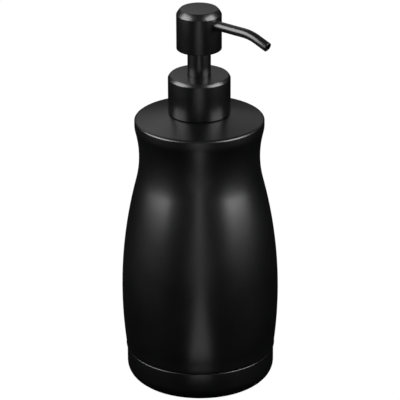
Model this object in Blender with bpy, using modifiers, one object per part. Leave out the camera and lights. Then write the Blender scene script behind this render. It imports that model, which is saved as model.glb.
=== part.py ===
"""Soap pump dispenser: a painted metal bottle with a screw-on lotion pump and a bent spout.

Units are metres, +Z is up. The origin is the middle of the foot pad's underside, on the bottle's axis,
and the spout points along +X. Every joint's axis is the Z axis or runs along it.
"""
import math

import bmesh
import bpy
from mathutils import Vector

MM = 0.001

# Clearances
FIT = 0.3 * MM              # between pieces that touch or are pressed together
RUN = 0.4 * MM              # around pieces that slide or turn in one another

# Bottle shell
BELLY_RADIUS = 42.05 * MM
BELLY_HEIGHT = 50.8 * MM
WAIST_RADIUS = 32.05 * MM
WAIST_HEIGHT = 127.9 * MM
WAIST_ARC = 57.0 * MM       # radius of the hollow curve of the waist
LIP_ANGLE = 14.5            # slope, in degrees, where the waist hands over to the lip
LIP_ARC = 13.2 * MM
LIP_BAND = 2.0 * MM         # upright stretch of the lip, under its rounded edge
RIM_ROUND = 1.95 * MM
SHOULDER_PITCH = 9.6        # degrees that the shoulder rises towards the neck
BOTTLE_WALL = 0.8 * MM

# Base cup and foot pad
FOOT_RADIUS = 28.3 * MM
FOOT_THICKNESS = 1.6 * MM
PAD_CHAMFER = 0.3 * MM
PAD_GAP = 0.5 * MM          # around the pad in its recess
FOOT_STAND = 0.8 * MM       # how far the pad stands below the cup
CUP_HEIGHT = 17.2 * MM
CUP_ROUND = 7.8 * MM
CUP_INSET = 0.6 * MM        # how far the cup's wall lies inside the bottle's lower edge
CUP_CHAMFER = 0.4 * MM
CUP_SPIGOT = 9.0 * MM       # height of the part that enters the bottle
SEAM = 0.6 * MM             # groove between the cup and the bottle
EDGE_BAND = 2.4 * MM        # upright stretch at the bottle's lower edge
BASE_SEAL_WIDTH = 1.0 * MM
BASE_SEAL_HEIGHT = 3.0 * MM

# Stem and pump, from the inside outwards
STEM_RADIUS = 4.0 * MM
STEM_WALL = 1.6 * MM
SLEEVE_SPACE = 1.3 * MM     # air between the stem and its sleeve
SLEEVE_WALL = 0.85 * MM
LOCK_CUP_WALL = 1.3 * MM
CYLINDER_WALL = 1.3 * MM
VENT_SPACE = 1.7 * MM       # air passage between the cylinder and the neck
NECK_WALL = 1.4 * MM
THREAD_HEIGHT = 1.1 * MM
THREAD_PITCH = 4.23 * MM
THREAD_TURNS = 1.25
THREAD_RIDGE = 0.9 * MM     # radius of the rounded ridge
NUT_WALL = 1.3 * MM
SHELL_WALL = 0.8 * MM       # collar and head over-shells
BEVEL_SWELL = 12.0          # half of the bevel's own curve, in degrees

# Collar, from the top downwards
COLLAR_HEIGHT = 20.75 * MM
COLLAR_BEVEL_REACH = 1.15 * MM
COLLAR_BEVEL_DROP = 1.45 * MM
COLLAR_GAP = 0.35 * MM      # between the collar and the shoulder
NUT_TOP = 3.0 * MM
LOCK_CUP_FLANGE = 1.4 * MM
CYLINDER_FLANGE = 1.6 * MM
GASKET_THICKNESS = 1.2 * MM
NECK_FLANGE_REACH = 4.3 * MM
NECK_FLANGE_THICKNESS = 2.0 * MM
NECK_SEAL_WIRE = 1.1 * MM

# Pump stroke and the pieces that set its length
STROKE = 12.5 * MM
SLEEVE_REACH = 3.0 * MM     # sleeve below the collar's top at rest
LOCK_CUP_SPARE = 1.1 * MM   # left under the sleeve at full stroke
LOCK_CUP_FLOOR = 2.0 * MM
MOUTH_SPARE = 1.7 * MM      # between the lock cup and the cylinder's step
STEM_REACH = 2.2 * MM       # stem below the cylinder's step at rest
ROD_PLUG = 9.5 * MM         # rod inside the stem
PISTON_SLIP = 1.2 * MM      # lost motion of the seal that opens the outlet
SEAL_LENGTH = 8.0 * MM
SEAL_LIP = 1.5 * MM
SEAL_WAIST = 0.7 * MM       # how far the seal's middle lies inside its lips
ROD_FLANGE = 1.4 * MM
ROD_TAIL = 5.5 * MM
SPRING_WIRE = 0.8 * MM
SPRING_PRESSED = 9.0 * MM   # spring's length at full stroke
SPRING_SPACE = 0.7 * MM     # between the spring and the ball cage
CHAMBER_SPACE = 1.2 * MM    # between the spring and the chamber's wall
BALL_RADIUS = 2.0 * MM
BALL_LIFT = 1.5 * MM
BALL_GAP = 0.21 * MM        # between the ball and its seat
CAGE_WALL = 0.9 * MM
CAGE_SKIRT = 1.6 * MM
CAGE_CAP = 1.0 * MM
CAGE_HOLE = 1.2 * MM
ROD_TAIL_SPACE = 0.75 * MM  # between the rod's tail and the spring
SPRING_OPEN_TURNS = 4
CLOSED_COIL_GAP = 0.16 * MM
SEAT_HOLE = 1.4 * MM
SEAT_DEPTH = 2.0 * MM
SOCKET_SHELF = 2.0 * MM
SOCKET_DEPTH = 8.0 * MM
SOCKET_WALL = 1.1 * MM
DIP_RADIUS = 3.2 * MM
DIP_WALL = 1.0 * MM
DIP_GAP = 7.4 * MM          # dip tube above the cup's floor

# Head and spout
HEAD_RADIUS = 11.87 * MM
HEAD_HEIGHT = 21.85 * MM
HEAD_BEVEL_REACH = 2.15 * MM
HEAD_BEVEL_DROP = 3.0 * MM
HEAD_SPARE = 1.9 * MM       # left between the head and the collar at full stroke
CORE_RECESS = 0.8 * MM
SLEEVE_SEAT = 2.3 * MM
STEM_SEAT = 10.6 * MM
FLOW_RADIUS = 1.6 * MM
SPOUT_RADIUS = 2.5 * MM
SPOUT_WALL = 0.6 * MM
SPOUT_DROP = 6.7 * MM       # spout's axis below the head's top
SPOUT_SOCKET = 4.0 * MM     # distance from the head's axis to the bottom of the spout's socket
SPOUT_RUN = 29.8 * MM       # axis of the head to the start of the bend
SPOUT_BEND = 24.5 * MM
SPOUT_ANGLE = 21.0
SPOUT_END = 7.55 * MM

LARGE_STEPS = 36
SMALL_STEPS = 24
MERGE = 0.00001

# Radii that follow from the stem
stem_bore = STEM_RADIUS - STEM_WALL
rod_radius = stem_bore - FIT
sleeve_bore = STEM_RADIUS + SLEEVE_SPACE
sleeve_radius = sleeve_bore + SLEEVE_WALL
lock_cup_bore = sleeve_radius + RUN
lock_cup_radius = lock_cup_bore + LOCK_CUP_WALL
mouth_bore = lock_cup_radius + FIT
mouth_radius = mouth_bore + CYLINDER_WALL
neck_bore = mouth_radius + VENT_SPACE
neck_radius = neck_bore + NECK_WALL
thread_radius = neck_radius + THREAD_HEIGHT
nut_bore = thread_radius + RUN
nut_radius = nut_bore + NUT_WALL
collar_radius = nut_radius + FIT + SHELL_WALL
neck_seat_radius = thread_radius + RUN
bottle_hole = neck_seat_radius + RUN

# Radii that follow from the inlet ball
cage_bore = BALL_RADIUS + RUN
cage_radius = cage_bore + CAGE_WALL
spring_radius = cage_radius + SPRING_SPACE + SPRING_WIRE / 2
chamber_bore = spring_radius + SPRING_WIRE / 2 + CHAMBER_SPACE
chamber_radius = chamber_bore + CYLINDER_WALL
dip_socket_bore = DIP_RADIUS + FIT
dip_socket_radius = dip_socket_bore + SOCKET_WALL

# Bottle outline: the belly's arc is the one that runs smoothly into the waist's
belly_depth = BELLY_RADIUS - WAIST_RADIUS
belly_span = WAIST_HEIGHT - BELLY_HEIGHT
belly_arc = (belly_span ** 2 / belly_depth + belly_depth) / 2 - WAIST_ARC
cup_top = FOOT_STAND + CUP_HEIGHT
bottle_bottom = cup_top + SEAM


def belly_radius_at(height):
    """Radius of the belly's arc at a height."""
    return BELLY_RADIUS - belly_arc + math.sqrt(belly_arc ** 2 - (height - BELLY_HEIGHT) ** 2)


bottle_edge_radius = belly_radius_at(bottle_bottom + EDGE_BAND)
cup_radius = bottle_edge_radius - CUP_INSET
cup_floor = FOOT_THICKNESS + FIT + BOTTLE_WALL
lip_start_height = WAIST_HEIGHT + WAIST_ARC * math.sin(math.radians(LIP_ANGLE))
lip_start_radius = WAIST_RADIUS + WAIST_ARC * (1 - math.cos(math.radians(LIP_ANGLE)))
lip_radius = lip_start_radius + LIP_ARC * (1 - math.cos(math.radians(LIP_ANGLE)))
rim_height = lip_start_height + LIP_ARC * math.sin(math.radians(LIP_ANGLE)) + LIP_BAND
shoulder_start_radius = lip_radius - RIM_ROUND * (1 - math.sin(math.radians(SHOULDER_PITCH)))
shoulder_start_height = rim_height + RIM_ROUND * math.cos(math.radians(SHOULDER_PITCH))


def shoulder_height_at(radius):
    """Height of the shoulder's upper face at a radius."""
    return shoulder_start_height + (shoulder_start_radius - radius) * math.tan(math.radians(SHOULDER_PITCH))


# Heights from the collar downwards
collar_bottom = shoulder_height_at(collar_radius) + COLLAR_GAP
collar_top = collar_bottom + COLLAR_HEIGHT
nut_top = collar_top - SHELL_WALL - FIT
nut_shelf = nut_top - NUT_TOP
lock_cup_top = nut_shelf - FIT
cylinder_top = lock_cup_top - LOCK_CUP_FLANGE - FIT
gasket_top = cylinder_top - CYLINDER_FLANGE - FIT
neck_top = gasket_top - GASKET_THICKNESS - FIT
sleeve_bottom = collar_top - SLEEVE_REACH
lock_cup_floor = sleeve_bottom - STROKE - LOCK_CUP_SPARE
mouth_floor = lock_cup_floor - LOCK_CUP_FLOOR - MOUTH_SPARE
stem_bottom = mouth_floor - STEM_REACH
seal_top = stem_bottom - PISTON_SLIP - RUN
seal_bottom = seal_top - SEAL_LENGTH
rod_flange_top = seal_bottom - FIT
spring_top = rod_flange_top - ROD_FLANGE - FIT
spring_bottom = spring_top - SPRING_PRESSED - STROKE
chamber_floor = spring_bottom - FIT - CAGE_SKIRT - FIT
socket_top = chamber_floor - SEAT_DEPTH - SOCKET_SHELF
cylinder_bottom = socket_top - SOCKET_DEPTH

# Heights from the collar upwards
head_bottom = collar_top + STROKE + HEAD_SPARE
head_top = head_bottom + HEAD_HEIGHT
core_bottom = head_bottom + CORE_RECESS
sleeve_top = core_bottom + SLEEVE_SEAT
stem_top = core_bottom + STEM_SEAT
spout_height = head_top - SPOUT_DROP


def make_collection(name):
    """Add a collection to the scene."""
    collection = bpy.data.collections.new(name)
    bpy.context.scene.collection.children.link(collection)
    return collection


for old_object in list(bpy.data.objects):
    bpy.data.objects.remove(old_object)
parts = make_collection("soap_pump_dispenser")
cutters = make_collection("cutters")


def soft_bevel(radius, top, reach, drop, count):
    """Points from a top face down to an upright side, along a slightly swelling bevel."""
    swell = math.hypot(reach, drop) / 2 / math.sin(math.radians(BEVEL_SWELL))
    first = math.degrees(math.atan2(reach, drop)) + BEVEL_SWELL
    turn = math.radians(first)
    centre = (radius - reach - swell * math.cos(turn), top - swell * math.sin(turn))
    return arc(centre, swell, first, first - 2 * BEVEL_SWELL, count)


def make_material(name, colour, roughness, metallic=0.0):
    """A Principled material of one colour."""
    material = bpy.data.materials.new(name)
    material.use_nodes = True
    shader = material.node_tree.nodes["Principled BSDF"]
    shader.inputs["Base Color"].default_value = (*colour, 1.0)
    shader.inputs["Roughness"].default_value = roughness
    shader.inputs["Metallic"].default_value = metallic
    return material


SATIN_BLACK = ((0.012, 0.012, 0.013), 0.32)
NATURAL_PLASTIC = ((0.80, 0.80, 0.78), 0.45)
CLEAR_PLASTIC = ((0.72, 0.74, 0.74), 0.30)
BLACK_RUBBER = ((0.02, 0.02, 0.02), 0.75)
STAINLESS = ((0.62, 0.62, 0.63), 0.25, 1.0)


def arc(centre, radius, start, end, count):
    """Points on an arc, from the start angle to the end angle in degrees, both included."""
    angles = [math.radians(start + (end - start) * step / count) for step in range(count + 1)]
    return [(centre[0] + radius * math.cos(angle), centre[1] + radius * math.sin(angle)) for angle in angles]


def finish_object(shape, name, finish):
    """Name an object's material after it and put the object among the parts."""
    shape.data.materials.append(make_material(name, *finish))
    parts.objects.link(shape)
    return shape


def turned(name, outline, finish, steps=SMALL_STEPS, wall=None):
    """Turn an outline of (radius, height) points about Z.

    With a wall the outline is an open line along the outside, top to bottom, which Solidify thickens
    inwards. Without one it is a closed section that runs down its outer side and up its inner side, or
    down to the axis.
    """
    mesh = bpy.data.meshes.new(name)
    on_axis = abs(outline[0][0]) < MERGE and abs(outline[-1][0]) < MERGE
    edges = [(point, point + 1) for point in range(len(outline) - 1)]
    if wall is None and not on_axis:
        edges.append((len(outline) - 1, 0))
    mesh.from_pydata([(radius, 0.0, height) for radius, height in outline], edges, [])
    shape = finish_object(bpy.data.objects.new(name, mesh), name, finish)
    screw = shape.modifiers.new("Turn", "SCREW")
    screw.steps = steps
    screw.render_steps = steps
    screw.use_merge_vertices = True
    screw.merge_threshold = MERGE
    if wall is not None:
        solidify = shape.modifiers.new("Wall", "SOLIDIFY")
        solidify.thickness = wall
        solidify.offset = -1.0
        solidify.use_even_offset = True
        solidify.use_quality_normals = True
    return shape


def ring(name, outer, inner, bottom, top, finish, steps=SMALL_STEPS):
    """A plain ring or tube."""
    return turned(name, [(outer, top), (outer, bottom), (inner, bottom), (inner, top)], finish, steps)


def tube_curve(name, points, radius, closed_ends=True, resolution=2):
    """A curve object with a round section along a list of points."""
    curve = bpy.data.curves.new(name, "CURVE")
    curve.dimensions = "3D"
    curve.fill_mode = "FULL"
    curve.bevel_depth = radius
    curve.bevel_resolution = resolution
    curve.use_fill_caps = closed_ends
    spline = curve.splines.new("POLY")
    spline.points.add(len(points) - 1)
    for spline_point, point in zip(spline.points, points):
        spline_point.co = (*point, 1.0)
    return bpy.data.objects.new(name, curve)


def as_mesh(curve_object):
    """Swap a curve object for a closed mesh of the same shape."""
    cutters.objects.link(curve_object)
    view = bpy.context.evaluated_depsgraph_get()
    mesh = bpy.data.meshes.new_from_object(curve_object.evaluated_get(view))
    work = bmesh.new()
    work.from_mesh(mesh)
    bmesh.ops.remove_doubles(work, verts=work.verts, dist=MERGE)
    work.to_mesh(mesh)
    work.free()
    shape = bpy.data.objects.new(curve_object.name, mesh)
    shape.matrix_world = curve_object.matrix_world
    bpy.data.objects.remove(curve_object)
    return shape


def combine(shape, other, operation):
    """Join another object to a part, or cut it away, and keep it as a guide."""
    if other.name not in cutters.objects:
        cutters.objects.link(other)
    other.hide_render = True
    other.display_type = "WIRE"
    boolean = shape.modifiers.new(other.name, "BOOLEAN")
    boolean.operation = operation
    boolean.solver = "EXACT"
    boolean.object = other


def rod_cutter(name, radius, start, end):
    """A straight round cutter between two points."""
    start = Vector(start)
    end = Vector(end)
    mesh = bpy.data.meshes.new(name)
    work = bmesh.new()
    bmesh.ops.create_cone(work, cap_ends=True, segments=16, radius1=radius, radius2=radius,
                          depth=(end - start).length)
    work.to_mesh(mesh)
    work.free()
    cutter = bpy.data.objects.new(name, mesh)
    cutter.location = (start + end) / 2
    cutter.rotation_mode = "QUATERNION"
    cutter.rotation_quaternion = (end - start).to_track_quat("Z", "Y")
    return cutter


def make_body_shell():
    """Spun metal bottle: neck hole, sloping shoulder, rounded rim, waist and belly, down to the seam."""
    rim_centre = (lip_radius - RIM_ROUND, rim_height)
    lip_centre = (lip_radius - LIP_ARC, rim_height - LIP_BAND)
    waist_centre = (WAIST_RADIUS + WAIST_ARC, WAIST_HEIGHT)
    belly_centre = (BELLY_RADIUS - belly_arc, BELLY_HEIGHT)
    meet = math.degrees(math.asin(belly_span / (belly_arc + WAIST_ARC)))
    low = math.degrees(math.asin((bottle_bottom + EDGE_BAND - BELLY_HEIGHT) / belly_arc))
    outline = [(bottle_hole, shoulder_height_at(bottle_hole))]
    outline += arc(rim_centre, RIM_ROUND, 90 - SHOULDER_PITCH, 0, 3)
    outline += arc(lip_centre, LIP_ARC, 0, -LIP_ANGLE, 2)
    outline += arc(waist_centre, WAIST_ARC, 180 - LIP_ANGLE, 180 + meet, 5)[1:]
    outline += arc(belly_centre, belly_arc, meet, low, 5)[1:]
    outline.append((bottle_edge_radius, bottle_bottom))
    return turned("body_shell", outline, SATIN_BLACK, LARGE_STEPS, BOTTLE_WALL)


def make_base_cup():
    """Pressed cup that closes the bottle: a spigot inside the shell and a large rounded bottom edge."""
    spigot_radius = bottle_edge_radius - BOTTLE_WALL - 2 * FIT - BASE_SEAL_WIDTH
    pad_recess = FOOT_RADIUS + PAD_GAP
    outline = [
        (spigot_radius, cup_top + CUP_SPIGOT),
        (spigot_radius, cup_top),
        (cup_radius - CUP_CHAMFER, cup_top),
        (cup_radius, cup_top - CUP_CHAMFER),
    ]
    outline += arc((cup_radius - CUP_ROUND, FOOT_STAND + CUP_ROUND), CUP_ROUND, 0, -90, 4)
    outline += [
        (pad_recess, FOOT_STAND),
        (pad_recess, FOOT_THICKNESS + FIT),
        (0.0, FOOT_THICKNESS + FIT),
    ]
    return turned("base_cup", outline, SATIN_BLACK, LARGE_STEPS, BOTTLE_WALL)


def make_base_seal():
    """Rubber ring on the cup's shoulder, between its spigot and the bottle's wall."""
    outer = bottle_edge_radius - BOTTLE_WALL - FIT
    bottom = cup_top + FIT
    return ring("base_seal", outer, outer - BASE_SEAL_WIDTH, bottom, bottom + BASE_SEAL_HEIGHT, BLACK_RUBBER,
                LARGE_STEPS)


def make_foot_pad():
    """Soft disc glued into the cup's recess, on which the dispenser stands."""
    outline = [
        (0.0, FOOT_THICKNESS),
        (FOOT_RADIUS, FOOT_THICKNESS),
        (FOOT_RADIUS, PAD_CHAMFER),
        (FOOT_RADIUS - PAD_CHAMFER, 0.0),
        (0.0, 0.0),
    ]
    return turned("foot_pad", outline, BLACK_RUBBER, LARGE_STEPS)


def make_neck_ring():
    """Moulded neck fixed through the bottle's hole: an inner flange, a seat and the outer screw thread."""
    flange_radius = neck_seat_radius + NECK_FLANGE_REACH
    flange_top = neck_flange_height()
    seat_top = shoulder_height_at(bottle_hole) + FIT
    outline = [
        (neck_radius, neck_top),
        (neck_radius, seat_top),
        (neck_seat_radius, seat_top),
        (neck_seat_radius, flange_top),
        (flange_radius, flange_top),
        (flange_radius, flange_top - NECK_FLANGE_THICKNESS),
        (neck_bore, flange_top - NECK_FLANGE_THICKNESS),
        (neck_bore, neck_top),
    ]
    neck = turned("neck_ring", outline, NATURAL_PLASTIC, LARGE_STEPS)
    ridge = THREAD_RIDGE
    steps_per_turn = 20
    start = neck_top - THREAD_TURNS * THREAD_PITCH - 2 * ridge
    points = []
    for step in range(round(THREAD_TURNS * steps_per_turn) + 1):
        turn = step / steps_per_turn
        angle = 2 * math.pi * turn
        radius = thread_radius - ridge
        points.append((radius * math.cos(angle), radius * math.sin(angle), start + turn * THREAD_PITCH))
    thread = as_mesh(tube_curve("neck_thread", points, ridge, resolution=1))
    combine(neck, thread, "UNION")
    return neck


def neck_flange_height():
    """Upper face of the neck's inner flange, under the shoulder with room for the seal ring."""
    flange_radius = neck_seat_radius + NECK_FLANGE_REACH
    inner_face = shoulder_height_at(flange_radius) - BOTTLE_WALL / math.cos(math.radians(SHOULDER_PITCH))
    return inner_face - NECK_SEAL_WIRE - 2 * FIT


def make_neck_seal():
    """O-ring squeezed between the neck's flange and the underside of the shoulder."""
    wire = NECK_SEAL_WIRE / 2
    centre = (neck_seat_radius + NECK_FLANGE_REACH / 2, neck_flange_height() + FIT + wire)
    return turned("neck_seal", arc(centre, wire, 90, -270, 8)[:-1], BLACK_RUBBER)


def make_collar_shell():
    """Drawn metal cover of the closure, with a hole in its top for the sleeve."""
    outline = [(sleeve_radius + RUN, collar_top)]
    outline += soft_bevel(collar_radius, collar_top, COLLAR_BEVEL_REACH, COLLAR_BEVEL_DROP, 4)
    outline.append((collar_radius, collar_bottom))
    return turned("collar_shell", outline, SATIN_BLACK, LARGE_STEPS, SHELL_WALL)


def make_closure_nut():
    """Moulded screw cap inside the collar; its shelf holds the pump's flange down on the neck."""
    bottom = collar_bottom + 2 * FIT
    shelf_hole = lock_cup_bore
    outline = [
        (nut_radius - COLLAR_BEVEL_REACH, nut_top),
        (nut_radius, nut_top - COLLAR_BEVEL_DROP),
        (nut_radius, bottom),
        (nut_bore, bottom),
        (nut_bore, nut_shelf),
        (shelf_hole, nut_shelf),
        (shelf_hole, nut_top),
    ]
    return turned("closure_nut", outline, NATURAL_PLASTIC, LARGE_STEPS)


def make_closure_gasket():
    """Foam washer between the neck's lip and the pump's flange."""
    return ring("closure_gasket", thread_radius, mouth_radius + RUN, neck_top + FIT, gasket_top, CLEAR_PLASTIC,
                LARGE_STEPS)


def make_pump_cylinder():
    """Moulded pump body: flange, wide mouth, chamber, ball seat and the socket for the dip tube."""
    step_bottom = mouth_floor - CYLINDER_WALL
    floor_bottom = chamber_floor - SEAT_DEPTH
    seat_radius = SEAT_HOLE + SEAT_DEPTH
    outline = [
        (thread_radius, cylinder_top),
        (thread_radius, cylinder_top - CYLINDER_FLANGE),
        (mouth_radius, cylinder_top - CYLINDER_FLANGE),
        (mouth_radius, step_bottom),
        (chamber_radius, step_bottom),
        (chamber_radius, chamber_floor),
        (dip_socket_radius, floor_bottom),
        (dip_socket_radius, cylinder_bottom),
        (dip_socket_bore, cylinder_bottom),
        (dip_socket_bore, socket_top),
        (SEAT_HOLE, socket_top),
        (SEAT_HOLE, floor_bottom),
        (seat_radius, chamber_floor),
        (chamber_bore, chamber_floor),
        (chamber_bore, mouth_floor),
        (mouth_bore, mouth_floor),
        (mouth_bore, cylinder_top),
    ]
    return turned("pump_cylinder", outline, NATURAL_PLASTIC)


def make_lock_cup():
    """Cup snapped into the cylinder's mouth: the sleeve slides in it and its floor guides the stem."""
    floor_bottom = lock_cup_floor - LOCK_CUP_FLOOR
    outline = [
        (thread_radius, lock_cup_top),
        (thread_radius, lock_cup_top - LOCK_CUP_FLANGE),
        (lock_cup_radius, lock_cup_top - LOCK_CUP_FLANGE),
        (lock_cup_radius, floor_bottom),
        (STEM_RADIUS + RUN, floor_bottom),
        (STEM_RADIUS + RUN, lock_cup_floor),
        (lock_cup_bore, lock_cup_floor),
        (lock_cup_bore, lock_cup_top),
    ]
    return turned("lock_cup", outline, NATURAL_PLASTIC)


def make_dip_tube():
    """Straight tube pushed into the cylinder's socket, reaching almost to the floor of the bottle."""
    return ring("dip_tube", DIP_RADIUS, DIP_RADIUS - DIP_WALL, cup_floor + DIP_GAP, socket_top - FIT,
                CLEAR_PLASTIC, 16)


def make_ball_cage():
    """Cage over the inlet ball: a skirt that carries the spring and a slotted tube with a cap."""
    skirt_bottom = chamber_floor + FIT
    cap_bottom = inlet_ball_height() + BALL_RADIUS + BALL_LIFT + FIT
    cap_top = cap_bottom + CAGE_CAP
    outline = [
        (cage_radius, cap_top),
        (cage_radius, skirt_bottom + CAGE_SKIRT),
        (chamber_bore - FIT, skirt_bottom + CAGE_SKIRT),
        (chamber_bore - FIT, skirt_bottom),
        (cage_bore, skirt_bottom),
        (cage_bore, cap_bottom),
        (CAGE_HOLE, cap_bottom),
        (CAGE_HOLE, cap_top),
    ]
    cage = turned("ball_cage", outline, NATURAL_PLASTIC)
    slot_height = (skirt_bottom + CAGE_SKIRT + cap_bottom) / 2
    slot_radius = (cap_bottom - skirt_bottom - CAGE_SKIRT) / 2 - FIT
    reach = cage_radius + FIT
    combine(cage, rod_cutter("cage_slot", slot_radius, (-reach, 0, slot_height), (reach, 0, slot_height)),
            "DIFFERENCE")
    return cage


def inlet_ball_height():
    """Height of the ball's centre, a small gap clear of the 45 degree seat."""
    seat_apex = chamber_floor - SEAT_DEPTH - SEAT_HOLE
    return seat_apex + (BALL_RADIUS + BALL_GAP) * math.sqrt(2)


def make_inlet_ball():
    """Steel ball that closes the inlet when the pump is pressed."""
    mesh = bpy.data.meshes.new("inlet_ball")
    work = bmesh.new()
    bmesh.ops.create_uvsphere(work, u_segments=16, v_segments=10, radius=BALL_RADIUS)
    work.to_mesh(mesh)
    work.free()
    mesh.shade_smooth()
    ball = bpy.data.objects.new("inlet_ball", mesh)
    ball.location = (0, 0, inlet_ball_height())
    return finish_object(ball, "inlet_ball", STAINLESS)


def make_return_spring():
    """Compression spring with one closed turn at each end, between the cage's skirt and the rod's flange."""
    steps_per_turn = 12
    closed_pitch = SPRING_WIRE + CLOSED_COIL_GAP
    length = spring_top - spring_bottom
    open_pitch = (length - SPRING_WIRE - 2 * closed_pitch) / SPRING_OPEN_TURNS
    points = []
    for step in range((SPRING_OPEN_TURNS + 2) * steps_per_turn + 1):
        turn = step / steps_per_turn
        angle = 2 * math.pi * turn
        open_part = min(max(turn - 1, 0), SPRING_OPEN_TURNS)
        height = spring_bottom + SPRING_WIRE / 2 + (turn - open_part) * closed_pitch + open_part * open_pitch
        points.append((spring_radius * math.cos(angle), spring_radius * math.sin(angle), height))
    return finish_object(tube_curve("return_spring", points, SPRING_WIRE / 2), "return_spring", STAINLESS)


def make_piston_seal():
    """Piston cup with a lip at each end, free to slip a little on the rod."""
    lip_radius_out = chamber_bore - FIT
    waist = lip_radius_out - SEAL_WAIST
    lip = SEAL_LIP
    outline = [
        (lip_radius_out, seal_top),
        (lip_radius_out, seal_top - lip / 2),
        (waist, seal_top - lip),
        (waist, seal_bottom + lip),
        (lip_radius_out, seal_bottom + lip / 2),
        (lip_radius_out, seal_bottom),
        (rod_radius + RUN, seal_bottom),
        (rod_radius + RUN, seal_top),
    ]
    return turned("piston_seal", outline, CLEAR_PLASTIC)


def make_piston_rod():
    """Rod plugged into the stem, with the flange that the spring pushes and a tail inside the spring."""
    flange_bottom = rod_flange_top - ROD_FLANGE
    tail_radius = spring_radius - SPRING_WIRE / 2 - ROD_TAIL_SPACE
    tail_bottom = flange_bottom - ROD_TAIL
    outline = [
        (0.0, stem_bottom + ROD_PLUG),
        (rod_radius, stem_bottom + ROD_PLUG),
        (rod_radius, rod_flange_top),
        (spring_radius + SPRING_WIRE / 2, rod_flange_top),
        (spring_radius + SPRING_WIRE / 2, flange_bottom),
        (tail_radius, flange_bottom),
        (tail_radius, tail_bottom + ROD_FLANGE),
        (tail_radius - ROD_FLANGE / 2, tail_bottom),
        (0.0, tail_bottom),
    ]
    return turned("piston_rod", outline, NATURAL_PLASTIC)


def make_stem_tube():
    """Hollow stem that joins the piston rod to the head."""
    return ring("stem_tube", STEM_RADIUS, stem_bore, stem_bottom, stem_top, NATURAL_PLASTIC)


def make_stem_sleeve():
    """Painted metal tube that hides the stem between the collar and the head."""
    return ring("stem_sleeve", sleeve_radius, sleeve_bore, sleeve_bottom, sleeve_top, SATIN_BLACK)


def make_head_core():
    """Moulded core of the head, with sockets for the stem, the sleeve and the spout and a flow passage."""
    core_radius = HEAD_RADIUS - SHELL_WALL - FIT
    core_top = head_top - SHELL_WALL - FIT
    outline = [(0.0, core_top)]
    outline += soft_bevel(core_radius, core_top, HEAD_BEVEL_REACH, HEAD_BEVEL_DROP, 2)
    outline += [
        (core_radius, core_bottom),
        (sleeve_radius + FIT, core_bottom),
        (sleeve_radius + FIT, sleeve_top + FIT),
        (STEM_RADIUS + FIT, sleeve_top + FIT),
        (STEM_RADIUS + FIT, stem_top + FIT),
        (0.0, stem_top + FIT),
    ]
    core = turned("head_core", outline, NATURAL_PLASTIC)
    corner = (0, 0, spout_height)
    passage = SPOUT_SOCKET + FIT
    combine(core, rod_cutter("rising_passage", FLOW_RADIUS, (0, 0, stem_top), corner), "DIFFERENCE")
    combine(core, rod_cutter("side_passage", FLOW_RADIUS, (-FLOW_RADIUS, 0, spout_height),
                             (passage, 0, spout_height)), "DIFFERENCE")
    combine(core, spout_hole("core_socket", SPOUT_SOCKET), "DIFFERENCE")
    return core


def spout_hole(name, start):
    """Cutter for the spout, from a distance off the head's axis to beyond its side."""
    reach = HEAD_RADIUS + SPOUT_RADIUS
    return rod_cutter(name, SPOUT_RADIUS + FIT, (start, 0, spout_height), (reach, 0, spout_height))


def make_head_shell():
    """Drawn metal cap over the core: flat top, wide soft bevel and a hole for the spout."""
    outline = [(0.0, head_top)]
    outline += soft_bevel(HEAD_RADIUS, head_top, HEAD_BEVEL_REACH, HEAD_BEVEL_DROP, 4)
    outline.append((HEAD_RADIUS, head_bottom))
    shell = turned("head_shell", outline, SATIN_BLACK, LARGE_STEPS, SHELL_WALL)
    combine(shell, spout_hole("shell_hole", HEAD_RADIUS / 2), "DIFFERENCE")
    return shell


def make_spout_tube():
    """Painted metal tube with one gentle downward bend and an open, square-cut end."""
    bend_steps = 6
    points = [(SPOUT_SOCKET + FIT, 0.0, spout_height)]
    for step in range(bend_steps + 1):
        angle = math.radians(SPOUT_ANGLE * step / bend_steps)
        across = SPOUT_RUN + SPOUT_BEND * math.sin(angle)
        points.append((across, 0.0, spout_height - SPOUT_BEND * (1 - math.cos(angle))))
    angle = math.radians(SPOUT_ANGLE)
    last = points[-1]
    points.append((last[0] + SPOUT_END * math.cos(angle), 0.0, last[2] - SPOUT_END * math.sin(angle)))
    spout = tube_curve("spout_tube", points, SPOUT_RADIUS, closed_ends=False, resolution=4)
    solidify = spout.modifiers.new("Wall", "SOLIDIFY")
    solidify.thickness = SPOUT_WALL
    solidify.offset = -1.0
    return finish_object(spout, "spout_tube", SATIN_BLACK)


def group(name, height, members, parent=None):
    """Parent the pieces that move together to an empty on their joint's axis."""
    axis = bpy.data.objects.new(name, None)
    axis.location = (0, 0, height)
    axis.empty_display_size = 5 * MM
    parts.objects.link(axis)
    bpy.context.view_layer.update()
    pairs = [(member, axis) for member in members]
    if parent is not None:
        pairs.append((axis, parent))
    for child, holder in pairs:
        child.parent = holder
        child.matrix_parent_inverse = holder.matrix_world.inverted()
    return axis


bottle = group("bottle_frame", 0.0, [
    make_body_shell(), make_base_cup(), make_base_seal(), make_foot_pad(), make_neck_ring(), make_neck_seal(),
])
lift = group("pump_lift_axis", gasket_top, [make_closure_gasket()], bottle)
pump = group("pump_unit_axis", cylinder_top, [
    make_pump_cylinder(), make_lock_cup(), make_dip_tube(), make_ball_cage(), make_return_spring(),
], lift)
group("collar_turn_axis", collar_bottom, [make_collar_shell(), make_closure_nut()], pump)
group("inlet_ball_axis", inlet_ball_height(), [make_inlet_ball()], pump)
stem = group("pump_press_axis", stem_bottom, [make_stem_tube(), make_piston_rod()], pump)
group("piston_slip_axis", seal_bottom, [make_piston_seal()], stem)
group("head_swivel_axis", head_bottom, [
    make_head_core(), make_head_shell(), make_spout_tube(), make_stem_sleeve(),
], stem)
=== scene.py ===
import math

import bmesh
import bpy
from mathutils import Matrix, Vector


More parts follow.
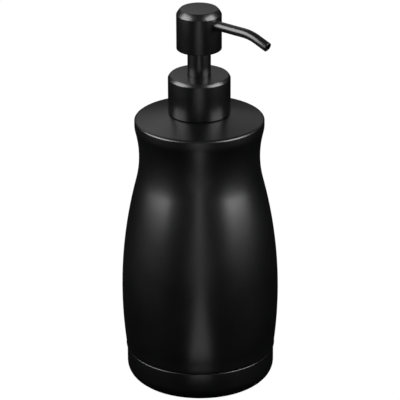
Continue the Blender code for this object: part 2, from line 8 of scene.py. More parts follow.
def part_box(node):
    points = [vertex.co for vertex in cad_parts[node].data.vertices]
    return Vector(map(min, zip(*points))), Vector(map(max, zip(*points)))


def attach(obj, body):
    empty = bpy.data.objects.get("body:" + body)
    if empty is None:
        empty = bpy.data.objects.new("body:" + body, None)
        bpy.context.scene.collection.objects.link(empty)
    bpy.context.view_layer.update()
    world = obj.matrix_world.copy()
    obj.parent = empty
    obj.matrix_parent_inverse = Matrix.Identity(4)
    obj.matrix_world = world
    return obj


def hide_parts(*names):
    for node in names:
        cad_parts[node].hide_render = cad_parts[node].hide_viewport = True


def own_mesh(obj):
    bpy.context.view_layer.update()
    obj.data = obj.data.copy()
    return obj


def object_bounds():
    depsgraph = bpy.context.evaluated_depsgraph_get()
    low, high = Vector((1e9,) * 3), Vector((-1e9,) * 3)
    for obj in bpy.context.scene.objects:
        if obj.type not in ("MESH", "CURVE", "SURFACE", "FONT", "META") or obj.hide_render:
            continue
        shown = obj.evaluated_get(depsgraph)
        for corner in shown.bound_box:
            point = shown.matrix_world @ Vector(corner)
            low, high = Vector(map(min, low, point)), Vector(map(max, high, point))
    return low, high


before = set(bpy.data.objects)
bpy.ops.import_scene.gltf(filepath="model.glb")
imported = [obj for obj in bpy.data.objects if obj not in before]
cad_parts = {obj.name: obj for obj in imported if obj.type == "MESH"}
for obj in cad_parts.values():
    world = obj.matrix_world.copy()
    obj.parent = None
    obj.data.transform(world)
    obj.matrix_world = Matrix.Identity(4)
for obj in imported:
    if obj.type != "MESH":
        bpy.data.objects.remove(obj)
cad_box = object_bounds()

MM = 0.001

# Camera.
# It stands at the right front of the dispenser, well above it and far back, with a long lens, and
# looks down at the middle of the bottle.
CAMERA_BEARING = math.radians(40.0)
CAMERA_REACH = 1.3139
CAMERA_ASIDE = 0.13 * MM
CAMERA_HEIGHT = 0.6629
CAMERA_TILT = math.radians(23.12)
CAMERA_ROLL = math.radians(-0.245)
CAMERA_LENS = 241.6

camera_data = bpy.data.cameras.new("camera")
camera_data.lens = CAMERA_LENS
camera_data.sensor_width = 36.0
camera_data.clip_start = 0.05
camera_data.clip_end = 20.0
camera = bpy.data.objects.new("camera", camera_data)
bpy.context.scene.collection.objects.link(camera)
bpy.context.scene.camera = camera
camera_place = Matrix.Translation((
    CAMERA_REACH * math.sin(CAMERA_BEARING), -CAMERA_REACH * math.cos(CAMERA_BEARING), CAMERA_HEIGHT))
camera_turn = Matrix.Rotation(CAMERA_BEARING, 4, "Z") @ Matrix.Rotation(math.pi / 2 - CAMERA_TILT, 4, "X")
camera_aside = Matrix.Translation((CAMERA_ASIDE, 0, 0))
camera.matrix_world = camera_place @ camera_turn @ Matrix.Rotation(CAMERA_ROLL, 4, "Z") @ camera_aside


# Bottle.
# A spun metal shell with a full belly, a hollow waist and a tight rolled rim, open at the bottom.
# It is powder coated in satin black, inside and out, and the shoulder rises a little to the neck hole.
BOTTLE_WALL = 0.8 * MM
WAIST_RADIUS = 32.05 * MM
WAIST_HEIGHT = 127.9 * MM
WAIST_ARC = 57.0 * MM
BELLY_HEIGHT = 50.8 * MM
LIP_ANGLE = math.radians(14.5)
LIP_ARC = 13.2 * MM
LIP_BAND = 2.0 * MM
RIM_LIFT = 0.25 * MM
RIM_CREST = 2.5 * MM
RIM_EDGE = 1.1 * MM
RIM_TURN = math.radians(50.0)
SHOULDER_PITCH = math.radians(9.6)
EDGE_BAND = 2.4 * MM
EDGE_ROUND = 0.25 * MM
NECK_FLANGE_REACH = 4.3 * MM
NECK_PLAY = 0.4 * MM
SATIN_BLACK = (0.0008, 0.0009, 0.0011, 1.0)
SPECKLED_BLACK = (0.0014, 0.0015, 0.0018, 1.0)
RUBBED_BLACK = (0.0040, 0.0041, 0.0044, 1.0)
POLISHED_SHEEN = 0.24
CORNER_ANGLE = math.radians(38)


def arc(centre, radius, start, end, steps):
    """Points on an arc, from the start angle to the end angle in radians, both included."""
    turns = [start + (end - start) * step / steps for step in range(steps + 1)]
    return [(centre[0] + radius * math.cos(turn), centre[1] + radius * math.sin(turn), 0.0) for turn in turns]


def rounded(corners, steps=4):
    """Outline from (radius, height, rounding) corners; each point also says whether it lies on a rounding."""
    outline = []
    for place, (radius, height, rounding) in enumerate(corners):
        here = Vector((radius, height))
        if rounding == 0:
            outline.append((radius, height, 0.0))
            continue
        back = (Vector(corners[place - 1][:2]) - here).normalized()
        ahead = (Vector(corners[(place + 1) % len(corners)][:2]) - here).normalized()
        half = back.angle(ahead) / 2
        centre = here + (back + ahead).normalized() * rounding / math.sin(half)
        first = here + back * rounding / math.tan(half) - centre
        last = here + ahead * rounding / math.tan(half) - centre
        start = math.atan2(first.y, first.x)
        sweep = (math.atan2(last.y, last.x) - start + math.pi) % (2 * math.pi) - math.pi
        for point in arc(centre, rounding, start, start + sweep, steps):
            outline.append((point[0], point[1], 1.0))
    return outline


def inside(outline, wall):
    """The same line a wall's thickness further in, run the other way, for the inside of a shell."""
    moved = []
    for place, point in enumerate(outline):
        before = Vector(outline[max(place - 1, 0)][:2])
        after = Vector(outline[min(place + 1, len(outline) - 1)][:2])
        along = (after - before).normalized()
        moved.append((point[0] + along.y * wall, point[1] - along.x * wall, 0.0))
    return moved[::-1]


def turned(name, outline, material, steps=160):
    """Turn an outline about Z into a piece. It is closed on itself, or runs from the axis to the axis."""
    mesh = bpy.data.meshes.new(name)
    work = bmesh.new()
    edge_layer = work.verts.layers.float.new("edge")
    row = []
    for radius, height, on_edge in outline:
        vertex = work.verts.new((radius, 0.0, height))
        vertex[edge_layer] = on_edge
        row.append(vertex)
    pairs = list(zip(row, row[1:]))
    if outline[0][0] > 0 or outline[-1][0] > 0:
        pairs.append((row[-1], row[0]))
    lines = [work.edges.new(pair) for pair in pairs]
    bmesh.ops.spin(work, geom=row + lines, cent=(0, 0, 0), axis=(0, 0, 1), angle=2 * math.pi, steps=steps)
    bmesh.ops.remove_doubles(work, verts=work.verts, dist=0.001 * MM)
    bmesh.ops.recalc_face_normals(work, faces=work.faces)
    work.to_mesh(mesh)
    work.free()
    return as_piece(name, mesh, material)


def as_piece(name, mesh, material):
    """Put a finished mesh into the scene with its material, smooth except at true corners."""
    mesh.materials.clear()
    mesh.materials.append(material)
    mesh.shade_smooth()
    mesh.set_sharp_from_angle(angle=CORNER_ANGLE)
    piece = bpy.data.objects.new(name, mesh)
    bpy.context.scene.collection.objects.link(piece)
    return piece


def node(tree, kind, place, **inputs):
    """Add a shader node; each input is a value or another node's output."""
    made = tree.nodes.new(kind)
    made.location = place
    for name, value in inputs.items():
        socket = made.inputs[name.replace("_", " ")]
        if isinstance(value, bpy.types.NodeSocket):
            tree.links.new(value, socket)
        else:
            socket.default_value = value
    return made


def new_group(name, numbers, outputs):
    """Start a shader node group with named number inputs and named outputs."""
    tree = bpy.data.node_groups.new(name, "ShaderNodeTree")
    for label, value in numbers.items():
        socket = tree.interface.new_socket(label, in_out="INPUT", socket_type="NodeSocketFloat")
        socket.default_value = value
    for label in outputs:
        tree.interface.new_socket(label, in_out="OUTPUT", socket_type="NodeSocketFloat")
    given = tree.nodes.new("NodeGroupInput")
    given.location = (-900, 0)
    result = tree.nodes.new("NodeGroupOutput")
    result.location = (700, 0)
    return tree, given, result


def make_grain():
    """Fine grain and broad unevenness of a coated or moulded surface; sizes are in millimetres."""
    sizes = {"Grain Size": 1.0, "Patch Size": 30.0}
    tree, given, result = new_group("surface_grain", sizes, ["Grain", "Patch"])
    place = node(tree, "ShaderNodeTexCoord", (-900, 250)).outputs["Object"]
    for row, (label, output) in enumerate((("Grain Size", "Grain"), ("Patch Size", "Patch"))):
        scale = node(tree, "ShaderNodeMath", (-650, -250 * row))
        scale.operation = "DIVIDE"
        scale.inputs[0].default_value = 1000.0
        tree.links.new(given.outputs[label], scale.inputs[1])
        noise = node(tree, "ShaderNodeTexNoise", (-400, -250 * row), Vector=place, Scale=scale.outputs[0],
                     Detail=3.0, Roughness=0.55)
        tree.links.new(noise.outputs["Fac"], result.inputs[output])
    return tree


def make_edge_wear():
    """Where hands and cloths have polished an edge: the rounded edges of a piece, broken up by noise."""
    tree, given, result = new_group("edge_wear", {"Amount": 1.0, "Break Up": 6.0}, ["Wear"])
    edge = node(tree, "ShaderNodeAttribute", (-650, 150))
    edge.attribute_name = "edge"
    place = node(tree, "ShaderNodeTexCoord", (-900, -250)).outputs["Object"]
    scale = node(tree, "ShaderNodeMath", (-650, -150))
    scale.operation = "DIVIDE"
    scale.inputs[0].default_value = 1000.0
    tree.links.new(given.outputs["Break Up"], scale.inputs[1])
    noise = node(tree, "ShaderNodeTexNoise", (-400, -150), Vector=place, Scale=scale.outputs[0], Detail=4.0)
    broken = node(tree, "ShaderNodeMapRange", (-150, -150), Value=noise.outputs["Fac"])
    broken.inputs["From Min"].default_value = 0.35
    broken.inputs["From Max"].default_value = 0.65
    product = node(tree, "ShaderNodeMath", (100, 0))
    product.operation = "MULTIPLY"
    tree.links.new(edge.outputs["Fac"], product.inputs[0])
    tree.links.new(broken.outputs["Result"], product.inputs[1])
    scaled = node(tree, "ShaderNodeMath", (350, 0))
    scaled.operation = "MULTIPLY"
    tree.links.new(product.outputs[0], scaled.inputs[0])
    tree.links.new(given.outputs["Amount"], scaled.inputs[1])
    tree.links.new(scaled.outputs[0], result.inputs["Wear"])
    return tree


surface_grain = make_grain()
edge_wear = make_edge_wear()


def new_material(name):
    """A node material with its Principled shader, ready for its own nodes."""
    material = bpy.data.materials.new(name)
    material.use_nodes = True
    return material, material.node_tree, material.node_tree.nodes["Principled BSDF"]


def use_group(tree, group, place, **numbers):
    """Place a shared node group in a material with that material's own values."""
    made = tree.nodes.new("ShaderNodeGroup")
    made.node_tree = group
    made.location = place
    for label, value in numbers.items():
        made.inputs[label.replace("_", " ")].default_value = value
    return made


def spread(tree, place, value, low, high):
    """Turn a 0 to 1 mask into a range of values."""
    made = node(tree, "ShaderNodeMapRange", place, Value=value)
    made.inputs["From Min"].default_value = 0.3
    made.inputs["From Max"].default_value = 0.7
    made.inputs["To Min"].default_value = low
    made.inputs["To Max"].default_value = high
    return made.outputs["Result"]


def tinted(tree, place, mask, plain, other):
    """A colour that runs from one tint to another along a mask."""
    made = tree.nodes.new("ShaderNodeMix")
    made.data_type = "RGBA"
    made.location = place
    tree.links.new(mask, made.inputs[0])
    made.inputs[6].default_value = plain
    made.inputs[7].default_value = other
    return made.outputs[2]


def bump(tree, place, height, depth, normal=None):
    """A bump of a given depth in metres from a height mask."""
    made = node(tree, "ShaderNodeBump", place, Height=height, Distance=depth, Strength=1.0)
    if normal is not None:
        tree.links.new(normal, made.inputs["Normal"])
    return made.outputs["Normal"]


def make_satin_paint():
    """Satin black powder coat: faint orange peel, uneven sheen and slightly polished edges."""
    material, tree, shader = new_material("satin_black_paint")
    peel = use_group(tree, surface_grain, (-900, 200), Grain_Size=2.4, Patch_Size=38.0)
    speck = use_group(tree, surface_grain, (-900, -100), Grain_Size=0.35, Patch_Size=9.0)
    wear = use_group(tree, edge_wear, (-900, -400), Amount=0.5, Break_Up=9.0)
    tone = tinted(tree, (-500, 500), speck.outputs["Patch"], SATIN_BLACK, SPECKLED_BLACK)
    worn = tinted(tree, (-250, 500), wear.outputs["Wear"], SATIN_BLACK, RUBBED_BLACK)
    tree.links.new(tone, worn.node.inputs[6])
    tree.links.new(worn, shader.inputs["Base Color"])
    sheen = spread(tree, (-500, 200), peel.outputs["Patch"], 0.29, 0.34)
    polished = tree.nodes.new("ShaderNodeMix")
    polished.location = (-250, 200)
    tree.links.new(wear.outputs["Wear"], polished.inputs[0])
    tree.links.new(sheen, polished.inputs[2])
    polished.inputs[3].default_value = POLISHED_SHEEN
    tree.links.new(polished.outputs[0], shader.inputs["Roughness"])
    shader.inputs["Specular IOR Level"].default_value = 1.0
    fine = bump(tree, (-500, -100), speck.outputs["Grain"], 0.004 * MM)
    tree.links.new(bump(tree, (-250, -100), peel.outputs["Grain"], 0.010 * MM, fine), shader.inputs["Normal"])
    return material


satin_paint = make_satin_paint()

shell_low, shell_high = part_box("body_shell")
hole_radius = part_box("neck_ring")[1].x - NECK_FLANGE_REACH + NECK_PLAY
belly_radius = shell_high.x
belly_depth = belly_radius - WAIST_RADIUS
belly_span = WAIST_HEIGHT - BELLY_HEIGHT
belly_arc = (belly_span ** 2 / belly_depth + belly_depth) / 2 - WAIST_ARC
belly_meet = math.asin(belly_span / (belly_arc + WAIST_ARC))
belly_end = math.asin((shell_low.z + EDGE_BAND - BELLY_HEIGHT) / belly_arc)
lip_radius = WAIST_RADIUS + (WAIST_ARC + LIP_ARC) * (1 - math.cos(LIP_ANGLE))
lip_top = WAIST_HEIGHT + (WAIST_ARC + LIP_ARC) * math.sin(LIP_ANGLE)
rim_height = lip_top + LIP_BAND + RIM_LIFT

bottle_outside = [(hole_radius, shell_high.z, 0.0)]
rim_shift = RIM_EDGE - RIM_CREST
rim_centre = (lip_radius - RIM_EDGE, rim_height)
crest_centre = (
    rim_centre[0] + rim_shift * math.cos(RIM_TURN), rim_centre[1] + rim_shift * math.sin(RIM_TURN))
bottle_outside += arc(crest_centre, RIM_CREST, math.pi / 2 - SHOULDER_PITCH, RIM_TURN, 6)[:-1]
bottle_outside += arc(rim_centre, RIM_EDGE, RIM_TURN, 0, 10)
bottle_outside += arc((lip_radius - LIP_ARC, lip_top), LIP_ARC, 0, -LIP_ANGLE, 5)
bottle_outside += arc((WAIST_RADIUS + WAIST_ARC, WAIST_HEIGHT), WAIST_ARC,
                      math.pi - LIP_ANGLE, math.pi + belly_meet, 16)[1:]
bottle_outside += arc((belly_radius - belly_arc, BELLY_HEIGHT), belly_arc, belly_meet, belly_end, 24)[1:]
edge_radius = bottle_outside[-1][0]
bottle_inside = inside(bottle_outside, BOTTLE_WALL)
bottle_edge = rounded([
    (edge_radius, shell_low.z + EDGE_BAND, 0.0),
    (edge_radius, shell_low.z, EDGE_ROUND),
    (edge_radius - BOTTLE_WALL, shell_low.z, EDGE_ROUND),
    (edge_radius - BOTTLE_WALL, shell_low.z + EDGE_BAND, 0.0),
])[1:-1]
bottle = turned("bottle", bottle_outside + bottle_edge + bottle_inside, satin_paint)
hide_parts("body_shell")
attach(bottle, "bottle")


# Base cup.
# A shallow pressed metal cup with a large rounded bottom edge, coated like the bottle.
# Its spigot is pushed up into the bottle, which leaves a fine groove between the two.
CUP_ROUND = 7.8 * MM
CUP_CHAMFER = 0.45 * MM
CUP_SEAM = 0.6 * MM
CUP_EDGE = 0.3 * MM
SPIGOT_EDGE = 0.2 * MM
SPIGOT_SPACE = 1.6 * MM
PAD_GAP = 0.5 * MM
PAD_GLUE = 0.3 * MM
cup_low, cup_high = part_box("base_cup")
pad_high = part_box("foot_pad")[1]
cup_top = shell_low.z - CUP_SEAM
spigot_radius = edge_radius - BOTTLE_WALL - SPIGOT_SPACE
pad_recess = pad_high.x + PAD_GAP
recess_top = pad_high.z + PAD_GLUE
cup_radius = cup_high.x
cup_outline = rounded([
    (0.0, recess_top, 0.0),
    (0.0, recess_top + BOTTLE_WALL, 0.0),
    (pad_recess + BOTTLE_WALL, recess_top + BOTTLE_WALL, CUP_EDGE),
    (pad_recess + BOTTLE_WALL, cup_low.z + BOTTLE_WALL, CUP_EDGE),
    (cup_radius - BOTTLE_WALL, cup_low.z + BOTTLE_WALL, CUP_ROUND - BOTTLE_WALL),
    (cup_radius - BOTTLE_WALL, cup_top - BOTTLE_WALL, SPIGOT_EDGE),
    (spigot_radius - BOTTLE_WALL, cup_top - BOTTLE_WALL, SPIGOT_EDGE),
    (spigot_radius - BOTTLE_WALL, cup_high.z, SPIGOT_EDGE),
    (spigot_radius, cup_high.z, SPIGOT_EDGE),
    (spigot_radius, cup_top, SPIGOT_EDGE),
    (cup_radius, cup_top, CUP_CHAMFER),
    (cup_radius, cup_low.z, CUP_ROUND),
    (pad_recess, cup_low.z, CUP_EDGE),
    (pad_recess, recess_top, CUP_EDGE),
], 8)
base_cup = turned("base_cup_coated", cup_outline[1:] + cup_outline[:1], satin_paint)
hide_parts("base_cup")
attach(base_cup, "bottle")


# Seal ring of the base cup.
# A square-section rubber ring that lies on the cup's shoulder and is squeezed against the bottle's
# wall. It can't be seen once the cup is in, so the ring of the working model stays, in real rubber.
RUBBER_BLACK = (0.018, 0.018, 0.018, 1.0)
RUBBER_DUSTY = (0.028, 0.028, 0.027, 1.0)
RUBBER_BLOOM = (0.06, 0.06, 0.058, 1.0)


def make_rubber():
    """Moulded black rubber: dull, with a fine grain and a grey bloom on its edges."""
    material, tree, shader = new_material("black_rubber")
    grain = use_group(tree, surface_grain, (-900, 0), Grain_Size=0.5, Patch_Size=14.0)
    wear = use_group(tree, edge_wear, (-900, 300), Amount=0.6, Break_Up=3.0)
    bloom = tinted(tree, (-500, 300), wear.outputs["Wear"], RUBBER_BLACK, RUBBER_BLOOM)
    patch = tinted(tree, (-700, 400), grain.outputs["Patch"], RUBBER_BLACK, RUBBER_DUSTY)
    tree.links.new(patch, bloom.node.inputs[6])
    tree.links.new(bloom, shader.inputs["Base Color"])
    tree.links.new(spread(tree, (-500, 0), grain.outputs["Patch"], 0.68, 0.82), shader.inputs["Roughness"])
    tree.links.new(bump(tree, (-250, -200), grain.outputs["Grain"], 0.03 * MM), shader.inputs["Normal"])
    return material


def refinish(name, material):
    """Give a piece of the working model its real material."""
    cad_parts[name].data.materials.clear()
    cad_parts[name].data.materials.append(material)


rubber = make_rubber()
refinish("base_seal", rubber)


# Foot pad.
# A soft rubber disc glued into the recess under the cup, with ring grooves that keep it from sliding.
# It stands a little proud of the cup and is all that touches the counter.
PAD_EDGE = 0.35 * MM
PAD_GROOVES = 4
PAD_GROOVE = 0.35 * MM
GROOVE_EDGE = 0.08 * MM
OUTER_GROOVE = 0.88
GROOVE_STEP = 0.2
pad_low, pad_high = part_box("foot_pad")
pad_radius = pad_high.x
pad_corners = [
    (0.0, 0.0, 0.0),
    (0.0, pad_high.z, 0.0),
    (pad_radius, pad_high.z, PAD_EDGE),
    (pad_radius, pad_low.z, PAD_EDGE),
]
for groove in range(PAD_GROOVES):
    groove_radius = pad_radius * (OUTER_GROOVE - GROOVE_STEP * groove)
    for side, height in ((2, 0), (1, 1), (-1, 1), (-2, 0)):
        pad_corners.append((groove_radius + side * PAD_GROOVE, pad_low.z + height * PAD_GROOVE, GROOVE_EDGE))
pad_outline = rounded(pad_corners)
foot_pad = turned("foot_pad_rubber", pad_outline[1:] + pad_outline[:1], rubber, 120)
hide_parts("foot_pad")
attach(foot_pad, "bottle")


# Neck.
# A moulded plastic neck pushed up through the hole in the shoulder from inside. Its flange seals under
# the shoulder and its outer thread, with tapered ends, takes the closure.
NECK_STEP = 0.4 * MM
NECK_WALL = 1.4 * MM
NECK_FLANGE = 2.0 * MM
NECK_SEAT_RISE = 0.3 * MM
NECK_EDGE = 0.4 * MM
NECK_FILLET = 0.2 * MM
NECK_SEAT_EDGE = 0.3 * MM
THREAD_PITCH = 4.23 * MM
THREAD_TURNS = 1.25
THREAD_HEIGHT = 1.1 * MM
THREAD_TIP = 0.3
THREAD_TAPER = 8
CLEAN_UP = 0.002 * MM
NATURAL_WHITE = (0.80, 0.795, 0.77, 1.0)


def make_plastic(name, colour, rough, see_through=0.0):
    """Natural moulded plastic: waxy, a little see-through, with faint flow marks and a fine grain."""
    material, tree, shader = new_material(name)
    grain = use_group(tree, surface_grain, (-900, 0), Grain_Size=0.6, Patch_Size=11.0)
    darker = tuple(0.93 * channel for channel in colour[:3]) + (1.0,)
    tone = tinted(tree, (-500, 300), grain.outputs["Patch"], darker, colour)
    tree.links.new(tone, shader.inputs["Base Color"])
    tree.links.new(spread(tree, (-500, 0), grain.outputs["Patch"], rough - 0.06, rough + 0.06),
                   shader.inputs["Roughness"])
    tree.links.new(bump(tree, (-250, -200), grain.outputs["Grain"], 0.008 * MM), shader.inputs["Normal"])
    shader.inputs["Subsurface Weight"].default_value = 0.25
    shader.inputs["Subsurface Radius"].default_value = (1.2 * MM, 1.1 * MM, 0.9 * MM)
    shader.inputs["Transmission Weight"].default_value = see_through
    return material


def swept(name, rings, sides, material, closed=False):
    """Skin round sections set along a line; rings hold a centre, a direction and a radius.

    The ends are capped, unless the line comes back to its first ring, as the wall of a tube does.
    """
    mesh = bpy.data.meshes.new(name)
    work = bmesh.new()
    edge_layer = work.verts.layers.float.new("edge")
    rows = []
    for centre, direction, radius in rings:
        across = Vector(direction).orthogonal() if not rows else guide - guide.project(direction)
        across.normalize()
        guide = across
        other = Vector(direction).normalized().cross(across)
        row = []
        for side in range(sides):
            turn = 2 * math.pi * side / sides
            offset = (across * math.cos(turn) + other * math.sin(turn)) * radius
            vertex = work.verts.new(Vector(centre) + offset)
            vertex[edge_layer] = 0.0
            row.append(vertex)
        rows.append(row)
    pairs = list(zip(rows, rows[1:]))
    if closed:
        pairs.append((rows[-1], rows[0]))
    else:
        work.faces.new(rows[0])
        work.faces.new(rows[-1])
    for first, second in pairs:
        for side in range(sides):
            ahead = (side + 1) % sides
            work.faces.new((first[side], first[ahead], second[ahead], second[side]))
    bmesh.ops.recalc_face_normals(work, faces=work.faces)
    work.to_mesh(mesh)
    work.free()
    return as_piece(name, mesh, material)


def combined(piece, other, operation):
    """Join another solid to a piece or cut it away, leaving one clean mesh."""
    boolean = piece.modifiers.new("combine", "BOOLEAN")
    boolean.operation = operation
    boolean.object = other
    view = bpy.context.evaluated_depsgraph_get()
    mesh = bpy.data.meshes.new_from_object(piece.evaluated_get(view))
    piece.modifiers.clear()
    piece.data = mesh
    work = bmesh.new()
    work.from_mesh(mesh)
    bmesh.ops.remove_doubles(work, verts=work.verts, dist=CLEAN_UP)
    bmesh.ops.dissolve_degenerate(work, dist=CLEAN_UP, edges=work.edges)
    work.to_mesh(mesh)
    work.free()
    mesh.set_sharp_from_angle(angle=CORNER_ANGLE)
    bpy.data.objects.remove(other)
    return piece


def helix(radius, start, rise_at, turns, wire_at, steps=36):
    """Rings along a helix about Z whose height and section follow the number of turns made."""
    nudge = 0.01
    rings = []
    for step in range(round(turns * steps) + 1):
        turn = step / steps
        angle = 2 * math.pi * turn
        centre = (radius * math.cos(angle), radius * math.sin(angle), start + rise_at(turn))
        rise = (rise_at(turn + nudge) - rise_at(turn)) / nudge / (2 * math.pi)
        direction = Vector((-radius * math.sin(angle), radius * math.cos(angle), rise))
        rings.append((centre, direction, wire_at(turn)))
    return rings


natural_plastic = make_plastic("natural_plastic", NATURAL_WHITE, 0.42)
neck_low, neck_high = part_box("neck_ring")
neck_flange = neck_high.x
neck_seat = hole_radius - NECK_PLAY
neck_crest = neck_seat - NECK_STEP
neck_root = neck_crest - THREAD_HEIGHT
neck_bore = neck_root - NECK_WALL
flange_top = neck_low.z + NECK_FLANGE
seat_top = shell_high.z + NECK_SEAT_RISE
neck = turned("neck", rounded([
    (neck_root, neck_high.z, NECK_EDGE),
    (neck_root, seat_top, NECK_FILLET),
    (neck_seat, seat_top, NECK_SEAT_EDGE),
    (neck_seat, flange_top, NECK_FILLET),
    (neck_flange, flange_top, NECK_EDGE),
    (neck_flange, neck_low.z, NECK_EDGE),
    (neck_bore, neck_low.z, NECK_EDGE),
    (neck_bore, neck_high.z, NECK_EDGE),
]), natural_plastic, 120)
thread_wire = THREAD_HEIGHT * 0.8
thread_start = neck_high.z - THREAD_TURNS * THREAD_PITCH - 2 * thread_wire


def thread_rise(turn):
    """Height gained along the thread after a number of turns."""
    return turn * THREAD_PITCH


def thread_section(turn):
    """Radius of the thread's ridge, which tapers at both of its ends."""
    start = THREAD_TIP + THREAD_TAPER * turn
    end = THREAD_TIP + THREAD_TAPER * (THREAD_TURNS - turn)
    return thread_wire * min(1.0, start, end)


thread_line = helix(neck_crest - thread_wire, thread_start, thread_rise, THREAD_TURNS, thread_section)
thread = swept("neck_thread", thread_line, 16, natural_plastic)
combined(neck, thread, "UNION")
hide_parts("neck_ring")
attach(neck, "bottle")


# Neck seal.
# A rubber O-ring between the neck's flange and the underside of the shoulder.
# It is out of sight, so the ring of the working model stays.
refinish("neck_seal", rubber)


# Pump body.
# A moulded cylinder with a broad flange that hangs in the neck. Below its wide mouth is the pump's
# chamber, and below that the seat of the inlet ball and the socket of the dip tube.
body_low, body_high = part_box("pump_cylinder")
tube_low, tube_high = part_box("dip_tube")
cage_low, cage_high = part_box("ball_cage")
guide_low, guide_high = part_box("lock_cup")
PUMP_WALL = 1.3 * MM
PUMP_FLANGE = 1.6 * MM
MOUTH_SPACE = 1.7 * MM
PLASTIC_FIT = 0.3 * MM
SOCKET_WALL = 1.1 * MM
SEAT_HOLE = 1.4 * MM
SEAT_STEP = 2.0 * MM
PUMP_EDGE = 0.3 * MM
PUMP_FILLET = 0.4 * MM
PUMP_SHOULDER = 1.0 * MM
PUMP_FUNNEL = 0.5 * MM
BORE_EDGE = 0.2 * MM
SEAT_EDGE = 0.1 * MM
mouth_bore = neck_bore - MOUTH_SPACE - PUMP_WALL
chamber_bore = cage_high.x + PLASTIC_FIT
chamber_floor = cage_low.z - PLASTIC_FIT
mouth_floor = guide_low.z - MOUTH_SPACE
socket_bore = tube_high.x + PLASTIC_FIT
socket_side = socket_bore + SOCKET_WALL
socket_top = tube_high.z + PLASTIC_FIT
flange_under = body_high.z - PUMP_FLANGE
pump_body = turned("pump_body", rounded([
    (body_high.x, body_high.z, PUMP_EDGE),
    (body_high.x, flange_under, PUMP_EDGE),
    (mouth_bore + PUMP_WALL, flange_under, PUMP_FILLET),
    (mouth_bore + PUMP_WALL, mouth_floor - PUMP_WALL, PUMP_SHOULDER),
    (chamber_bore + PUMP_WALL, mouth_floor - PUMP_WALL, PUMP_FILLET),
    (chamber_bore + PUMP_WALL, chamber_floor, PUMP_FUNNEL),
    (socket_side, socket_top + SEAT_STEP, PUMP_FILLET),
    (socket_side, body_low.z, PUMP_FILLET),
    (socket_bore, body_low.z, PUMP_EDGE),
    (socket_bore, socket_top, BORE_EDGE),
    (SEAT_HOLE, socket_top, BORE_EDGE),
    (SEAT_HOLE, socket_top + SEAT_STEP, SEAT_EDGE),
    (SEAT_HOLE + SEAT_STEP, chamber_floor, SEAT_EDGE),
    (chamber_bore, chamber_floor, PUMP_EDGE),
    (chamber_bore, mouth_floor, PUMP_FILLET),
    (mouth_bore, mouth_floor, PUMP_FILLET),
    (mouth_bore, body_high.z, BORE_EDGE),
]), natural_plastic, 96)
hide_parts("pump_cylinder")
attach(pump_body, "pump_unit")


# Dip tube.
# A length of hazy polythene tube pushed into the pump's socket, ending just above the cup's floor.
# Its lower end is cut on the slant, so that it can't seal itself against the floor.
TUBE_WALL = 1.0 * MM
TUBE_EDGE = 0.2 * MM
TUBE_SLANT = math.radians(35.0)
SLANT_CUT = 30.0 * MM
CLEAR_HAZY = (0.78, 0.80, 0.80, 1.0)
hazy_plastic = make_plastic("clear_plastic", CLEAR_HAZY, 0.3, 0.55)
tube_radius = tube_high.x
dip_tube = turned("dip_tube_polythene", rounded([
    (tube_radius, tube_high.z, TUBE_EDGE),
    (tube_radius, tube_low.z, 0.0),
    (tube_radius - TUBE_WALL, tube_low.z, 0.0),
    (tube_radius - TUBE_WALL, tube_high.z, TUBE_EDGE),
]), hazy_plastic, 64)
cut_rings = [((0, 0, -SLANT_CUT), (0, 0, 1), SLANT_CUT), ((0, 0, 0), (0, 0, 1), SLANT_CUT)]
slant_cut = swept("slant_cut", cut_rings, 24, hazy_plastic)
slant_cut.matrix_world = (
    Matrix.Translation((0, 0, tube_low.z + tube_radius * math.tan(TUBE_SLANT)))
    @ Matrix.Rotation(TUBE_SLANT, 4, "Y"))
bpy.context.view_layer.update()
combined(dip_tube, slant_cut, "DIFFERENCE")
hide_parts("dip_tube")
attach(dip_tube, "pump_unit")


# Inlet valve.
# A small steel ball on a conical seat lets soap in as the head rises and shuts as it is pressed. A moulded,
# slotted cage keeps it in place. Both are sealed inside the pump, so the working model's pieces stay.
STEEL = (0.62, 0.62, 0.63, 1.0)
DRAWN_STEEL = (0.52, 0.52, 0.53, 1.0)


def make_steel():
    """Bright drawn stainless steel with fine die marks."""
    material, tree, shader = new_material("stainless_steel")
    grain = use_group(tree, surface_grain, (-900, 0), Grain_Size=0.15, Patch_Size=4.0)
    tone = tinted(tree, (-500, 300), grain.outputs["Patch"], DRAWN_STEEL, STEEL)
    tree.links.new(tone, shader.inputs["Base Color"])
    tree.links.new(spread(tree, (-500, 0), grain.outputs["Grain"], 0.18, 0.34), shader.inputs["Roughness"])
    tree.links.new(bump(tree, (-250, -200), grain.outputs["Grain"], 0.003 * MM), shader.inputs["Normal"])
    shader.inputs["Metallic"].default_value = 1.0
    return material


steel = make_steel()
refinish("inlet_ball", steel)
refinish("ball_cage", natural_plastic)


# Return spring.
# Drawn stainless wire wound into a compression spring, with one closed turn at each end. It stands on the
# cage's skirt and lifts the piston rod's flange.
spring_low, spring_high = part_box("return_spring")
SPRING_WIRE = 0.8 * MM
CLOSED_PITCH = 0.96 * MM
OPEN_TURNS = 4
spring_length = spring_high.z - spring_low.z
open_pitch = (spring_length - SPRING_WIRE - 2 * CLOSED_PITCH) / OPEN_TURNS


def spring_rise(turn):
    """Height gained after a number of turns: closed, then open, then closed again."""
    open_part = min(max(turn - 1, 0), OPEN_TURNS)
    return (turn - open_part) * CLOSED_PITCH + open_part * open_pitch


def spring_section(turn):
    """Radius of the wire, which is the same all along."""
    return SPRING_WIRE / 2


spring_line = helix(spring_high.x - SPRING_WIRE / 2, spring_low.z + SPRING_WIRE / 2, spring_rise,
                    OPEN_TURNS + 2, spring_section)
spring = swept("spring", spring_line, 12, steel)
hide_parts("return_spring")
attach(spring, "pump_unit")
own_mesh(spring)


